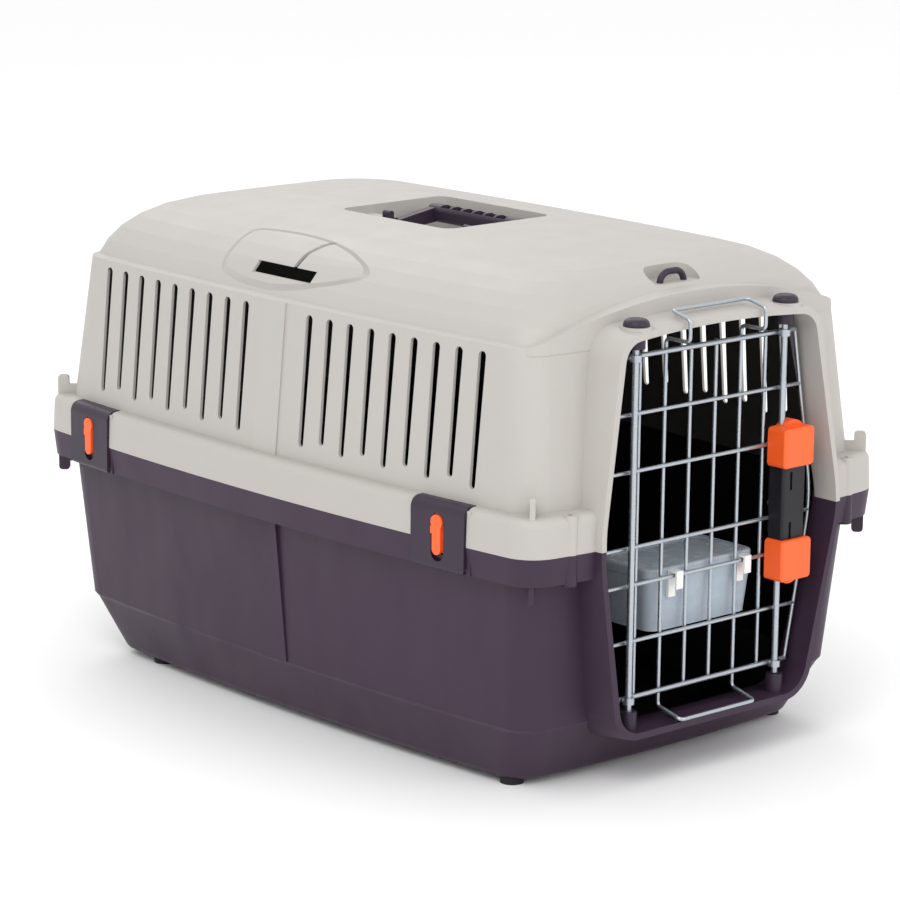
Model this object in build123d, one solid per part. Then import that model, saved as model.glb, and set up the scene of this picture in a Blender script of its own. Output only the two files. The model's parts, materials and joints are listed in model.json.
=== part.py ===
from build123d import *
from math import asin, cos, degrees, pi, radians, sin, sqrt, tan
import os

# Pet transport carrier. Millimetres. +Z is up, the door faces -Y, and the origin lies on the floor
# under the middle of the carrier. "Left" is -X, as seen by someone who faces the door.

# ---- Overall sizes --------------------------------------------------------------------------------
LENGTH = 610.0
WIDTH = 400.0
ROOF_Z = 384.5
PARTING_Z = 188.5
WALL = 2.5
TOUCH = 0.1
CUT = 5.0

# ---- Plan outline: four long bows joined by round corners -----------------------------------------
SIDE_BOW = 3000.0
END_BOW = 1280.0
HALF_W = WIDTH / 2
HALF_L = LENGTH / 2

# ---- Rim flanges, where the two shells meet -------------------------------------------------------
RIM_LOW_Z = 167.5
RIM_TOP_Z = 217.5
RIM_CORNER = 26.0
RIM_SKIN = 3.2
RIM_ROUND = 7.0
RIM_LOW_DRAFT = 2.0
RIM_TOP_DRAFT = 1.0

# ---- Base shell: half width, half length, corner radius, height -----------------------------------
FOOT_HEIGHT = 4.5
FOOT_R = 9.0
FOOT_TALL = 24.0
FOOT_X = 138.0
FOOT_FRONT_Y = -226.0
FOOT_REAR_Y = 194.0
FLOOR_THICKNESS = 3.2
FLOOR_ROUND = 9.0
BASE_SECTIONS = (
    (157.5, 250.0, 24.0, FOOT_HEIGHT),
    (173.5, 274.5, 25.0, 48.0),
    (176.0, 277.0, 25.0, 51.5),
    (188.0, 289.5, RIM_CORNER, PARTING_Z),
)
LIP_HEIGHT = 4.0
LIP_OUTER = 1.5
LIP_INNER = 2.9

# ---- Top shell: wall up to the crease, then a domed roof ------------------------------------------
CREASE_Z = 334.5
TOP_FOOT_SECTION = (190.0, 291.5, RIM_CORNER, PARTING_Z)
CREASE_SECTION = (177.0, 274.0, RIM_CORNER, CREASE_Z)
DOME_SIDE_FLAT = 100.0
DOME_SIDE_R = 80.0
DOME_FRONT_FLAT = 212.0
DOME_FRONT_R = 60.0
DOME_REAR_FLAT = 221.0
DOME_REAR_R = ROOF_Z - CREASE_Z
DOME_CORNER = RIM_CORNER - 3.0
DOME_CORNER_GROWTH = 38.0
DOME_STEPS = 6
CROWN_DROP = 5.5
CROWN_REACH = 110.0
CROWN_STEPS = 4
CROWN_CORNER_SHARE = 0.25
LEDGE_RISE = 1.5
BROW_Z = 361.5
BROW_HALF_W = 160.0
BROW_BACK_Y = -225.0
BROW_PROUD = 0.4

# ---- Doorway: a spout that stands forward of both shells ------------------------------------------
DOOR_HALF_W = 124.0
DOOR_WAIST_R = 120.0
DOOR_SILL_Z = 43.0
DOOR_SILL_HALF_W = 96.0
DOOR_SILL_CORNER = 22.0
DOOR_HEAD_Z = 336.0
DOOR_HEAD_RISE = 5.5
DOOR_HEAD_HALF_W = 98.5
DOOR_HEAD_CORNER = 17.0
SPOUT_SKIN = 4.5
SPOUT_FLARE = 9.0
SPOUT_BACK_Y = -266.0
SPOUT_RAKE = 8.0
DOOR_CUT_BACK_Y = -248.0
PAD_HALF_W = 34.0
PAD_HEIGHT = 2.0
PAD_FRONT_Y = -298.0
PAD_DEPTH = 15.0

# ---- Corner ribs and the screw bosses beside the doorway ------------------------------------------
RIB_THICK = 4.0
RIB_HALF_L = 16.0
RIB_POST = 9.0
RIB_WEB_SHARE = 0.55
RIB_RISE = 15.0
RIB_ROUND = 3.0
RIB_X = 165.5
RIB_Y = 273.5
BOSS_X = 146.5
BOSS_Y = -291.6
BOSS_R = 6.0
BOSS_HOLE_R = 2.0

# ---- Vents ----------------------------------------------------------------------------------------
VENTS_PER_GROUP = 9
VENT_PITCH = 23.0
VENT_FIRST_Y = 38.0
VENT_TOP_Z = 329.0
VENT_TOP_WIDTH = 7.4
VENT_FOOT_WIDTH = 5.6
VENT_FOOT_LONG_Z = 228.5
VENT_FOOT_SHORT_Z = 233.5

# ---- Plain panel between the vent groups ----------------------------------------------------------
PANEL_Y = 4.0
PANEL_WIDTH = 29.0
PANEL_PROUD = 1.2

# ---- Roof handle and its well ---------------------------------------------------------------------
WELL_Y = 7.5
WELL_HALF_W = 55.0
WELL_HALF_L = 64.5
WELL_DEPTH = 33.0
WELL_CORNER = 10.0
HANDLE_X = -22.0
HANDLE_Z = ROOF_Z - 13.0
ARM_OUTER_Y = 51.0
ARM_INNER_Y = 43.0
ARM_R = 6.0
GRIP_X = 27.0
GRIP_R = 7.0
GRIP_CELLS = 6
GRIP_CELL_PITCH = 13.0
GRIP_CELL_LENGTH = 10.4
GRIP_CELL_DEPTH = 5.0
GRIP_CELL_SKIN = 1.6
HORN_Z = ROOF_Z - 1.0
HORN_R = 2.6
PIN_R = 2.5
RUNNING = 0.08
LUG_INNER_Y = 51.5
LUG_R = 6.5

# ---- Belt guides on the shoulders of the roof -----------------------------------------------------
GUIDE_FRONT_TIP = (150.0, -80.0)
GUIDE_REAR_TOP = (126.0, 91.0)
GUIDE_REAR_FOOT = (163.0, 91.0)
GUIDE_TOP_X = 123.0
GUIDE_FOOT_X = 168.0
GUIDE_BELLY_Y = 5.0
GUIDE_REAR_ROUND = 15.0
GUIDE_TIP_ROUND = 6.0
GUIDE_FACET = ((118.0, 380.5), (156.5, 359.0), (174.0, 337.8))
GUIDE_FACET_RUN = (-12.0, -148.0, 10.5)
GUIDE_FACET_Y = 77.0
GUIDE_WINDOW_Y = 15.0
GUIDE_WINDOW_L = 70.0
GUIDE_WINDOW_LOW_Z = 348.5
GUIDE_WINDOW_TOP_Z = 357.0
GUIDE_SLIT = ((126.5, -6.0), (145.6, 6.0), (165.0, 2.0))
GUIDE_SLIT_WIDTH = 4.5
GUIDE_X_INNER = 120.0

# ---- Lead loop in the dish above the door ---------------------------------------------------------
DISH_Y = -244.0
DISH_HALF_W = 25.0
DISH_HALF_L = 12.0
DISH_FLOOR_Z = 364.0
LOOP_BAR_R = 2.5
LOOP_SPAN = 25.0
LOOP_RISE = 7.9
LOOP_BEND = 9.0

# ---- Door -----------------------------------------------------------------------------------------
WIRE_R = 1.5
RAIL_R = 2.0
WELD = 0.4
WIRE_PITCH = 26.5
ROW_UNIT = 14.3
BOTTOM_RAIL_Z = 65.0
TOP_ROW = 18
CROSS_ROWS = (3, 6, 8, 10, 12, 15)
ROW_Y = -281.5
UPRIGHT_Y = ROW_Y + 2 * WIRE_R - WELD
UPRIGHTS = (-2.5, -1.5, -0.5, 0.5, 1.5, 2.5)
LOOP_UPRIGHT = 1.5
DOOR_EDGE_GAP = 4.2
ROD_X = 78.5
ROD_Y = -286.6
ROD_R = 2.5
EYE_R = 4.6
EYE_HEIGHT = 5.0
HOOK_FRONT_Y = -304.6
TOP_HOOK_LOW_Z = 331.5
TOP_HOOK_FRONT_Z = 348.0
TOP_HOOK_BACK = (-284.0, 352.5)
SILL_HOOK_Z = 46.5
SILL_HOOK_DROP_Z = 52.5
HOOK_BEND = 4.0
WAIST_TURN = 20.7

# ---- Rod bushes (above) and sockets (below) -------------------------------------------------------
BUSH_R = 7.0
BUSH_LOW_Z = 329.5
BUSH_SEAT_Z = 346.0
BUSH_SEAT_R = 12.5
CAP_R = 9.8
CAP_HEIGHT = 5.5
SOCKET_R = 6.5
SOCKET_LOW_Z = 40.2
SOCKET_TOP_Z = 57.0
ROD_CLEAR = 0.6

# ---- Door latch -----------------------------------------------------------------------------------
LATCH_X = ROD_X + 5.0
LATCH_HALF_W = 12.5
LATCH_FRONT_Y = -297.0
LATCH_BACK_Y = ROW_Y - WIRE_R
LATCH_LOW_Z = 150.0
LATCH_TOP_Z = 230.0
LATCH_TRAVEL = 9.0
SPRING_CHANNEL_R = 3.1
SEPTUM_LOW_Z = 187.5
SEPTUM_TOP_Z = 192.5
SPRING_TURNS = 7
SPRING_WIRE_R = 0.4
SPRING_R = 2.1
SPRING_LENGTH = 19.0
LATCH_SLOT_LENGTH = 14.0
LATCH_SLOT_WIDTH = 2.5
LATCH_SLOT_DEPTH = 1.5
GRIP_HALF_W = 16.5
GRIP_FRONT_Y = -301.5
GRIP_ROUND = 3.5
GRIP_FRONT_ROUND = 2.0
GRIP_HUMP_R = 13.0
GRIP_HUMP_RISE = 4.5
GRIP_HUMP_X = LATCH_X + 2.0
GRIP_HUMP_DEPTH = 9.0
LATCH_GRIP_UPPER = (220.5, 251.0)
LATCH_GRIP_LOWER = (132.5, 164.5)
COVER_HALF_W = 9.0
COVER_THICK = 1.2
COVER_HALF_H = 22.0
SCREW_R = 1.5
SCREW_HEAD_R = 2.6
SCREW_SPREAD = 6.0
SCREW_GRIP = 7.0
GUIDE_LENGTH = 12.0

# ---- Hasps and their lock sliders -----------------------------------------------------------------
HASP_FRONT_Y = -203.0
HASP_REAR_Y = 221.0
HASP_WIDTH = 54.0
HASP_CORNER = 5.0
HASP_SKIN = 3.0
HASP_PROUD = 1.5
HASP_GAP = 0.6
HASP_BEND_Z = 210.0
HASP_TOP_Z = 218.0
HASP_PIN_R = 1.5
HASP_KNUCKLE_R = 4.2
HASP_PIN_Z = 171.0
HASP_PIN_V = -2.7
HASP_REACH_IN = 11.0
PAD_IN = 14.0
SLOT_LOW_Z = 173.5
SLOT_TOP_Z = 209.5
SLOT_WIDTH = 12.6
SLIDER_LOW_Z = 178.5
SLIDER_TOP_Z = 208.5
SLIDER_HEAD_R = 5.6
SLIDER_STEM_R = 4.2
SLIDER_TRAVEL = 4.5
SLIDER_PROUD = 1.1
SLIDER_TAB = 1.6
SLIDER_TAB_Z = (194.0, 199.5)
FLANGE_HALF = 8.0
FLANGE_DEEP = 1.0
FLANGE_LOW_Z = 180.3
FLANGE_TOP_Z = 211.3
TONGUE_HALF = 3.0
TONGUE_LOW_Z = 183.0
TONGUE_TOP_Z = 185.5
TONGUE_HOOK_Z = 180.5
TONGUE_BACK_V = -8.0
KEEPER_BACK_V = -5.0
KEEPER_TOP_Z = 178.3

# ---- Storage box that hangs on the door -----------------------------------------------------------
BOX_X = 10.5
BOX_HALF_W = 56.0
BOX_FRONT_Y = -275.4
BOX_DEPTH = 62.0
BOX_LOW_Z = 107.0
BOX_TOP_Z = 147.5
BOX_SKIN = 1.8
BOX_CORNER = 10.0
BOX_DRAFT = 3.5
LID_LOW_Z = 147.9
LID_TOP_Z = 155.5
LID_AXIS_Z = 150.4
LID_RIDGE = 0.9
LID_RIDGE_INSET = 7.0
LID_PIN_R = 1.2
LID_BARREL_R = 2.6
LID_BARREL_GAP = 1.4
LID_ARM_X = 24.0
HOOK_HALF_W = 3.5
HOOK_SPREAD = 36.5
HOOK_SKIN = 1.6
HOOK_CLEAR = 1.0
HOOK_LOW_Z = 141.0
HOOK_ROOT = 14.0
HOOK_STAND_OFF = 0.6
BOX_HOOK_TOP_Z = 154.6


# ---- Helpers --------------------------------------------------------------------------------------
def plan(half_width, front, rear, corner, z):
    """Closed plan outline at a height: bowed sides and ends with round corners."""
    face = Pos(half_width - SIDE_BOW, 0) * Circle(SIDE_BOW)
    face &= Pos(SIDE_BOW - half_width, 0) * Circle(SIDE_BOW)
    face &= Pos(0, rear - END_BOW) * Circle(END_BOW)
    face &= Pos(0, END_BOW - front) * Circle(END_BOW)
    return Pos(0, 0, z) * fillet(face.vertices(), corner)


def even_plan(half_width, half_length, corner, z):
    return plan(half_width, half_length, half_length, corner, z)


def between(low, high):
    """Straight-sided solid between two plan sections."""
    return loft([even_plan(*low), even_plan(*high)], ruled=True)


def stack(sections):
    """Straight-sided solid through plan sections given from the bottom up."""
    solid = between(sections[0], sections[1])
    for low, high in zip(sections[1:], sections[2:]):
        solid += between(low, high)
    return solid


def inset(section, amount, z=None):
    """The same plan section, smaller all round, at its own or another height."""
    half_width, half_length, corner, own_z = section
    height = own_z if z is None else z
    return (half_width - amount, half_length - amount, corner - amount, height)


def mix(low, high, z):
    """Plan section at a height on the straight wall from one section to another."""
    share = (z - low[3]) / (high[3] - low[3])
    return tuple(a + (b - a) * share for a, b in zip(low, high))


def bow_sag(radius, along):
    """How far a bow of this radius has fallen away at a distance from its middle."""
    return radius - sqrt(radius ** 2 - along ** 2)


def block(x, y, z):
    """Box from its low and high limits along each axis."""
    size = (x[1] - x[0], y[1] - y[0], z[1] - z[0])
    centre = ((x[0] + x[1]) / 2, (y[0] + y[1]) / 2, (z[0] + z[1]) / 2)
    return Pos(*centre) * Box(*size)


def rod(start, end, radius):
    """Round bar from one point to another."""
    axis = Vector(*end) - Vector(*start)
    return extrude(Plane(start, z_dir=axis) * Circle(radius), axis.length)


def post(x, y, low, high, radius):
    """Upright round bar."""
    return Pos(x, y, (low + high) / 2) * Cylinder(radius, high - low)


def bent_wire(points, radius, bend):
    """Round wire along straight runs with round bends between them."""
    path = FilletPolyline(*points, radius=bend)
    start = Plane(path @ 0, z_dir=path % 0)
    return sweep(start * Circle(radius), path=path)


def both_sides(piece):
    return [piece, mirror(piece, Plane.YZ)]


def four_ways(piece):
    return both_sides(piece) + both_sides(mirror(piece, Plane.XZ))


# ---- Doorway --------------------------------------------------------------------------------------
def doorway(grow, y):
    """Doorway outline in an upright plane, grown outward by an amount."""
    low = DOOR_SILL_Z - grow
    head = DOOR_HEAD_Z + grow
    waist = DOOR_HALF_W + grow
    foot = DOOR_SILL_HALF_W + grow
    brow = DOOR_HEAD_HALF_W + grow
    sides = Polyline((-brow, head), (-waist, PARTING_Z), (-foot, low), (foot, low),
                     (waist, PARTING_Z), (brow, head))
    arch = ThreePointArc((brow, head), (0, head + DOOR_HEAD_RISE), (-brow, head))
    face = make_face([*sides.edges(), arch])
    for height, radius in ((low, DOOR_SILL_CORNER + grow), (head, DOOR_HEAD_CORNER + grow),
                           (PARTING_Z, DOOR_WAIST_R + grow)):
        corners = face.vertices().filter_by(lambda v: abs(v.Y - height) < TOUCH)
        face = fillet(corners, radius)
    return Plane((0, y, 0), x_dir=(1, 0, 0), z_dir=(0, -1, 0)) * face


def spout():
    """The doorway's sleeve, raked back above and below the parting line."""
    sleeve = loft([doorway(SPOUT_SKIN, -HALF_L), doorway(SPOUT_FLARE, SPOUT_BACK_Y)], ruled=True)
    reach = ROOF_Z - PARTING_Z
    for height in (reach, -reach):
        wedge = make_face(Polyline(
            (-HALF_L, PARTING_Z), (-HALF_L - CUT, PARTING_Z), (-HALF_L - CUT, PARTING_Z + height),
            (-HALF_L + SPOUT_RAKE, PARTING_Z + height), close=True))
        sleeve -= extrude(Plane.YZ * wedge, HALF_W, both=True)
    return sleeve


def doorway_cut():
    """Everything that the doorway takes out of both shells."""
    return extrude(doorway(0, -HALF_L - CUT), -(HALF_L + CUT + DOOR_CUT_BACK_Y))


# ---- Rims -----------------------------------------------------------------------------------------
def rim_section(z):
    """Outside of the rim flange at a height; it is widest at the parting line."""
    if z < PARTING_Z:
        draft = RIM_LOW_DRAFT * (PARTING_Z - z) / (PARTING_Z - RIM_LOW_Z)
    else:
        draft = RIM_TOP_DRAFT * (z - PARTING_Z) / (RIM_TOP_Z - PARTING_Z)
    return (HALF_W - draft, HALF_L - draft, RIM_CORNER, z)


def corner_rib(root_z, rise):
    """Upright plate across a corner of the rim: a low web and a taller post at its outer end."""
    low, high = sorted((root_z, root_z + rise))
    web_low, web_high = sorted((root_z, root_z + rise * RIB_WEB_SHARE))
    half = RIB_THICK / 2
    post_block = block((RIB_HALF_L - RIB_POST, RIB_HALF_L), (-half, half), (low, high))
    tip = post_block.faces().sort_by(Axis.Z)[-1 if rise > 0 else 0]
    post_block = fillet(tip.edges().filter_by(Axis.Y), RIB_ROUND)
    plate = post_block + block((-RIB_HALF_L, RIB_HALF_L), (-half, half), (web_low, web_high))
    return four_ways(Pos(RIB_X, RIB_Y) * Rot(0, 0, 45) * plate)


def rim_pads(low, high):
    """Solid filling inside the rim behind each hasp."""
    half = HASP_WIDTH / 2 + 4
    return at_hasps(block((-PAD_IN, -1), (-half, half), (low, high)))


# ---- Base shell -----------------------------------------------------------------------------------
def base_cavity():
    floor_z = FOOT_HEIGHT + FLOOR_THICKNESS
    low, step_low, step_high, top = BASE_SECTIONS
    sections = [inset(mix(low, step_low, floor_z), WALL), inset(step_low, WALL),
                inset(step_high, WALL), inset(top, WALL)]
    return stack(sections) + between(sections[-1], inset(top, WALL, PARTING_Z + CUT))


def base_rim():
    """Flange around the parting line, hollow and open below, with a locating lip on top."""
    rim = between(rim_section(RIM_LOW_Z), rim_section(PARTING_Z))
    rim -= between(inset(rim_section(RIM_LOW_Z), RIM_SKIN),
                   inset(rim_section(PARTING_Z), RIM_SKIN, PARTING_Z - RIM_SKIN))
    return rim


def base_shell():
    body = stack(BASE_SECTIONS)
    floor_edge = body.edges().filter_by(lambda e: e.bounding_box().max.Z < FOOT_HEIGHT + TOUCH)
    body = fillet(floor_edge, FLOOR_ROUND)
    low, top = BASE_SECTIONS[2], BASE_SECTIONS[3]
    panel = between(inset(low, -PANEL_PROUD), inset(top, -PANEL_PROUD, RIM_LOW_Z + 2))
    panel &= block((-HALF_W, HALF_W), (PANEL_Y - PANEL_WIDTH / 2, PANEL_Y + PANEL_WIDTH / 2),
                   (low[3], RIM_LOW_Z + 2))
    body += [panel, base_rim()]
    body += rim_pads(RIM_LOW_Z, PARTING_Z)
    body += corner_rib(RIM_LOW_Z + 2, -RIB_RISE - 2)
    body += both_sides(post(BOSS_X, BOSS_Y, RIM_LOW_Z - 2, PARTING_Z, BOSS_R))
    body += spout() & block((-HALF_W, HALF_W), (-HALF_L, -HALF_L / 2), (0, PARTING_Z))
    body -= base_cavity()
    lip = between(inset(top, LIP_OUTER, PARTING_Z - CUT), inset(top, LIP_OUTER, PARTING_Z + LIP_HEIGHT))
    lip -= between(inset(top, LIP_INNER, PARTING_Z - CUT),
                   inset(top, LIP_INNER, PARTING_Z + LIP_HEIGHT))
    body += lip
    body -= doorway_cut()
    body += block((-PAD_HALF_W, PAD_HALF_W), (PAD_FRONT_Y, PAD_FRONT_Y + PAD_DEPTH),
                  (DOOR_SILL_Z - CUT / 2, DOOR_SILL_Z + PAD_HEIGHT))
    body -= both_sides(post(ROD_X, ROD_Y, SOCKET_LOW_Z, SOCKET_TOP_Z, SOCKET_R))
    body -= [*hasp_notches(), *lock_windows(), *hasp_pins()]
    return body


def feet():
    """Four round feet whose tops follow the tub."""
    tub = stack(BASE_SECTIONS)
    floor_edge = tub.edges().filter_by(lambda e: e.bounding_box().max.Z < FOOT_HEIGHT + TOUCH)
    tub = fillet(floor_edge, FLOOR_ROUND)
    posts = both_sides(post(FOOT_X, FOOT_FRONT_Y, 0, FOOT_TALL, FOOT_R))
    posts += both_sides(post(FOOT_X, FOOT_REAR_Y, 0, FOOT_TALL, FOOT_R))
    return [foot - tub for foot in posts]


# ---- Top shell ------------------------------------------------------------------------------------
def dome_section(share, skin):
    """Plan of the rounded shoulders between the crease (0) and the crown (1)."""
    rise = (ROOF_Z - CROWN_DROP - CREASE_Z) * sin(share * pi / 2)
    z = CREASE_Z - skin + rise

    def reach(flat, radius):
        above = z + CROWN_DROP - (ROOF_Z - radius)
        return flat + sqrt(max((radius - skin) ** 2 - above ** 2, 0.0))

    corner = DOME_CORNER - skin + DOME_CORNER_GROWTH * share ** 2
    return (reach(DOME_SIDE_FLAT, DOME_SIDE_R), reach(DOME_FRONT_FLAT, DOME_FRONT_R),
            reach(DOME_REAR_FLAT, DOME_REAR_R), corner, z)


def crown_section(share, skin):
    """Plan of the almost flat crown between the shoulders (0) and the middle of the roof (1)."""
    side, front, rear, corner, z = dome_section(1, skin)
    step = CROWN_REACH * share
    drop = CROWN_DROP * (1 - share) ** 2
    return (side - step * DOME_SIDE_FLAT / DOME_REAR_FLAT, front - step, rear - step,
            corner - step * CROWN_CORNER_SHARE, ROOF_Z - skin - drop)


def dome(skin):
    """Roof from the crease up, with a narrow sloping ledge around its foot."""
    start = asin(LEDGE_RISE / (ROOF_Z - CROWN_DROP - CREASE_Z)) * 2 / pi
    shares = [start + (1 - start) * step / DOME_STEPS for step in range(DOME_STEPS + 1)]
    crease = mix(TOP_FOOT_SECTION, CREASE_SECTION, CREASE_Z - skin)
    sections = [even_plan(*inset(crease, skin))]
    sections += [plan(*dome_section(share, skin)) for share in shares]
    sections += [plan(*crown_section((step + 1) / CROWN_STEPS, skin)) for step in range(CROWN_STEPS)]
    return loft(sections, ruled=True)


def brow(skin):
    """Arched lift of the front wall above the crease."""
    low = CREASE_Z - CUT
    arch = ThreePointArc((BROW_HALF_W - skin, CREASE_Z - skin), (0, BROW_Z - skin),
                         (skin - BROW_HALF_W, CREASE_Z - skin))
    rest = Polyline((skin - BROW_HALF_W, CREASE_Z - skin), (skin - BROW_HALF_W, low - skin),
                    (BROW_HALF_W - skin, low - skin), (BROW_HALF_W - skin, CREASE_Z - skin))
    face = Plane((0, -HALF_L, 0), x_dir=(1, 0, 0), z_dir=(0, -1, 0)) * make_face(
        [arch, *rest.edges()])
    bar = extrude(face, -(HALF_L + BROW_BACK_Y))
    foot = mix(TOP_FOOT_SECTION, CREASE_SECTION, low - CUT)
    top = mix(TOP_FOOT_SECTION, CREASE_SECTION, BROW_Z + CUT)
    return bar & between(inset(foot, skin - BROW_PROUD), inset(top, skin - BROW_PROUD))


def top_body(skin):
    """Closed body of the top shell; the inside is the same body made smaller."""
    crease = mix(TOP_FOOT_SECTION, CREASE_SECTION, CREASE_Z - skin)
    wall = between(inset(TOP_FOOT_SECTION, skin), inset(crease, skin))
    return wall + dome(skin) + brow(skin)


def top_rim():
    rim = between(rim_section(PARTING_Z), rim_section(RIM_TOP_Z))
    edge = rim.edges().filter_by(lambda e: e.bounding_box().min.Z > RIM_TOP_Z - TOUCH)
    rim = fillet(edge, RIM_ROUND)
    return rim - between(inset(rim_section(PARTING_Z), RIM_SKIN),
                         inset(rim_section(RIM_TOP_Z), RIM_SKIN, RIM_TOP_Z - RIM_SKIN))


def vent(y, foot_z):
    """Upright slot outline, wider at its rounded top than at its rounded foot."""
    top_r = VENT_TOP_WIDTH / 2
    foot_r = VENT_FOOT_WIDTH / 2
    top = VENT_TOP_Z - top_r
    foot = foot_z + foot_r
    sides = make_face(Polyline((y - foot_r, foot), (y + foot_r, foot), (y + top_r, top),
                               (y - top_r, top), close=True))
    return sides + Pos(y, top) * Circle(top_r) + Pos(y, foot) * Circle(foot_r)


def vents():
    """Two groups of slots, the same on both sides, cut straight across the carrier."""
    cuts = []
    for index in range(VENTS_PER_GROUP):
        foot_z = VENT_FOOT_SHORT_Z if index % 2 else VENT_FOOT_LONG_Z
        y = VENT_FIRST_Y + VENT_PITCH * index
        for place in (y, -y):
            cuts.append(extrude(Plane.YZ * vent(place, foot_z), HALF_W, both=True))
    return cuts


def well(grow):
    """Recess for the handle, grown to make its lining."""
    size = (2 * (WELL_HALF_W + grow), 2 * (WELL_HALF_L + grow))
    face = Plane((0, WELL_Y, ROOF_Z - WELL_DEPTH - grow)) * RectangleRounded(*size, WELL_CORNER + grow)
    return extrude(face, WELL_DEPTH + grow + CUT)


def handle_lugs():
    """Ears at both ends of the well that carry the handle's pins."""
    foot = ROOF_Z - WELL_DEPTH - TOUCH
    ears = []
    for side in (1, -1):
        span = sorted((side * LUG_INNER_Y, WELL_Y + side * (WELL_HALF_L + TOUCH)))
        ears.append(block((HANDLE_X - LUG_R, HANDLE_X + LUG_R), span, (foot, HANDLE_Z)))
        ears.append(rod((HANDLE_X, span[0], HANDLE_Z), (HANDLE_X, span[1], HANDLE_Z), LUG_R))
    return ears


def guide_outline(grow):
    """Almond on the shoulder in plan, pointed towards the door and blunt at the rear."""
    sides = [ThreePointArc(GUIDE_FRONT_TIP, (GUIDE_TOP_X, GUIDE_BELLY_Y), GUIDE_REAR_TOP),
             Line(GUIDE_REAR_TOP, GUIDE_REAR_FOOT),
             ThreePointArc(GUIDE_REAR_FOOT, (GUIDE_FOOT_X, GUIDE_BELLY_Y), GUIDE_FRONT_TIP)]
    face = make_face([edge for side in sides for edge in side.edges()])
    face = fillet(face.vertices().sort_by(Axis.Y)[1:], GUIDE_REAR_ROUND)
    face = fillet(face.vertices().sort_by(Axis.Y)[:1], GUIDE_TIP_ROUND)
    return offset(face, grow) if grow else face


def guide_recess(grow):
    """Shallow hollow whose floor is an upper and a steeper lower facet."""
    upper, middle, lower = [(x, z - grow) for x, z in GUIDE_FACET]
    above = make_face(Polyline(upper, middle, lower, (lower[0], ROOF_Z + 2 * CUT),
                               (upper[0] - 3 * CUT, ROOF_Z + 2 * CUT), (upper[0] - 3 * CUT, upper[1] + 2 * CUT),
                               close=True))
    along = Vector(*GUIDE_FACET_RUN)
    start = Plane((0, GUIDE_FACET_Y, 0), x_dir=(1, 0, 0), z_dir=(0, -1, 0)) * above
    start = Pos(*(-along * 0.5)) * start
    facets = extrude(start, along.length * 2, dir=along.normalized())
    column = extrude(Pos(0, 0, DOOR_HEAD_Z) * guide_outline(grow), ROOF_Z)
    return facets & column


def guide_window():
    """Belt window through the lower facet, and the slit that lets the belt in from above."""
    half = GUIDE_WINDOW_L / 2
    window = block((GUIDE_X_INNER, HALF_W), (GUIDE_WINDOW_Y - half, GUIDE_WINDOW_Y + half),
                   (GUIDE_WINDOW_LOW_Z, GUIDE_WINDOW_TOP_Z))
    slit = SlotArc(ThreePointArc(*GUIDE_SLIT), GUIDE_SLIT_WIDTH)
    return window + extrude(Pos(0, 0, GUIDE_WINDOW_LOW_Z + TOUCH) * slit, ROOF_Z - GUIDE_WINDOW_LOW_Z)


def dish(grow):
    face = Plane((0, DISH_Y, DISH_FLOOR_Z - grow)) * SlotOverall(2 * (DISH_HALF_W + grow),
                                                               2 * (DISH_HALF_L + grow))
    return extrude(face, ROOF_Z - DISH_FLOOR_Z + grow + CUT)


def lead_loop():
    """Arched bar over the dish, for a lead or a strap."""
    foot_z = DISH_FLOOR_Z - WALL
    top_z = DISH_FLOOR_Z + LOOP_RISE
    half = LOOP_SPAN / 2
    points = [(-half, DISH_Y, foot_z), (-half, DISH_Y, top_z), (half, DISH_Y, top_z),
              (half, DISH_Y, foot_z)]
    return bent_wire(points, LOOP_BAR_R, LOOP_BEND)


def top_shell():
    outside = top_body(0)
    body = outside + top_rim()
    body += rim_pads(PARTING_Z, RIM_TOP_Z - 2)
    body += corner_rib(RIM_TOP_Z - 2, RIB_RISE + 2)
    body += four_ways(post(BOSS_X, BOSS_Y, PARTING_Z, RIM_TOP_Z, BOSS_R))
    panel = between(inset(TOP_FOOT_SECTION, -PANEL_PROUD), inset(CREASE_SECTION, -PANEL_PROUD))
    body += panel & block((-HALF_W, HALF_W), (PANEL_Y - PANEL_WIDTH / 2, PANEL_Y + PANEL_WIDTH / 2),
                          (RIM_TOP_Z - 2, CREASE_Z))
    body += spout() & block((-HALF_W, HALF_W), (-HALF_L, -HALF_L / 2), (PARTING_Z, ROOF_Z))
    body += both_sides(post(ROD_X, ROD_Y, DOOR_HEAD_Z, BUSH_SEAT_Z, BUSH_SEAT_R))
    body -= top_body(WALL)
    body -= between(inset(TOP_FOOT_SECTION, WALL, PARTING_Z - CUT), inset(TOP_FOOT_SECTION, WALL))
    linings = [well(WALL), dish(WALL), *both_sides(guide_recess(WALL))]
    body += [lining & outside for lining in linings]
    body -= [well(0), dish(0), *both_sides(guide_recess(0)), *both_sides(guide_window())]
    body += handle_lugs()
    body -= [*vents(), doorway_cut(), lead_loop(), *handle_pins()]
    body -= both_sides(post(ROD_X, ROD_Y, BUSH_LOW_Z, BUSH_SEAT_Z + CUT, BUSH_R))
    body -= four_ways(post(BOSS_X, BOSS_Y, RIM_TOP_Z - 8, RIM_TOP_Z + CUT, BOSS_HOLE_R))
    body -= both_sides(post(ROD_X, ROD_Y, BUSH_SEAT_Z, BUSH_SEAT_Z + CAP_HEIGHT, CAP_R + 0.3))
    body -= hasp_notches()
    return body


# ---- Carrying handle ------------------------------------------------------------------------------
def handle_pins():
    pins = []
    for side in (1, -1):
        start = (HANDLE_X, side * (ARM_INNER_Y - 1), HANDLE_Z)
        end = (HANDLE_X, WELL_Y + side * (WELL_HALF_L + WALL / 2), HANDLE_Z)
        pins.append(rod(start, end, PIN_R))
    return pins


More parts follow.
